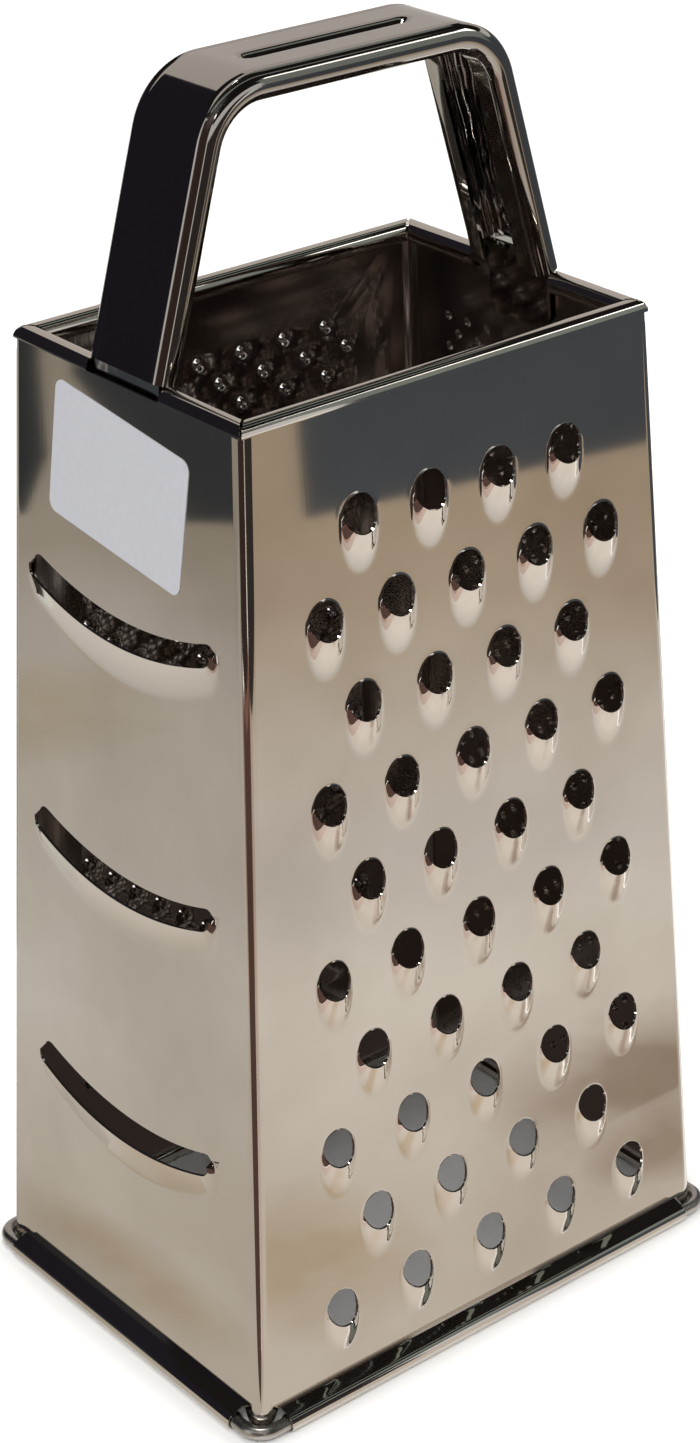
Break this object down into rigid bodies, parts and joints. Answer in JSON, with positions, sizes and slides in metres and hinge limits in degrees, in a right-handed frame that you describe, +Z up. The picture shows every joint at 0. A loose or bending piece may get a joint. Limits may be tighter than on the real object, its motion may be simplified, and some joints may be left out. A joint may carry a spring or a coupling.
{
  "type": "box grater",
  "caption": "Tapered box grater with coarse teeth, slicing slots, medium and fine gratings, a rolled rim, a wired base and a strap handle.",
  "frame": {"origin": "on the ground under the middle of the box", "axes": "+Z up, +X along the two wide walls, the coarse wall faces -Y and the slicer wall faces -X"},
  "size_m": [0.1114, 0.0832, 0.229],
  "materials": {
    "polished_steel": "bright rolled stainless sheet with fine drawing lines along its height",
    "plated_wire": "plain bright drawn steel wire",
    "handle_steel": "mirror-bright polished stainless strap",
    "label_paper": "smooth white adhesive paper, blank"
  },
  "bodies": {
    "root": {"coarse_wall": "polished_steel", "medium_wall": "polished_steel", "slicer_wall": "polished_steel", "fine_wall": "polished_steel", "base_wire": "plated_wire", "handle": "handle_steel", "label": "label_paper"}
  },
  "joints": []
}
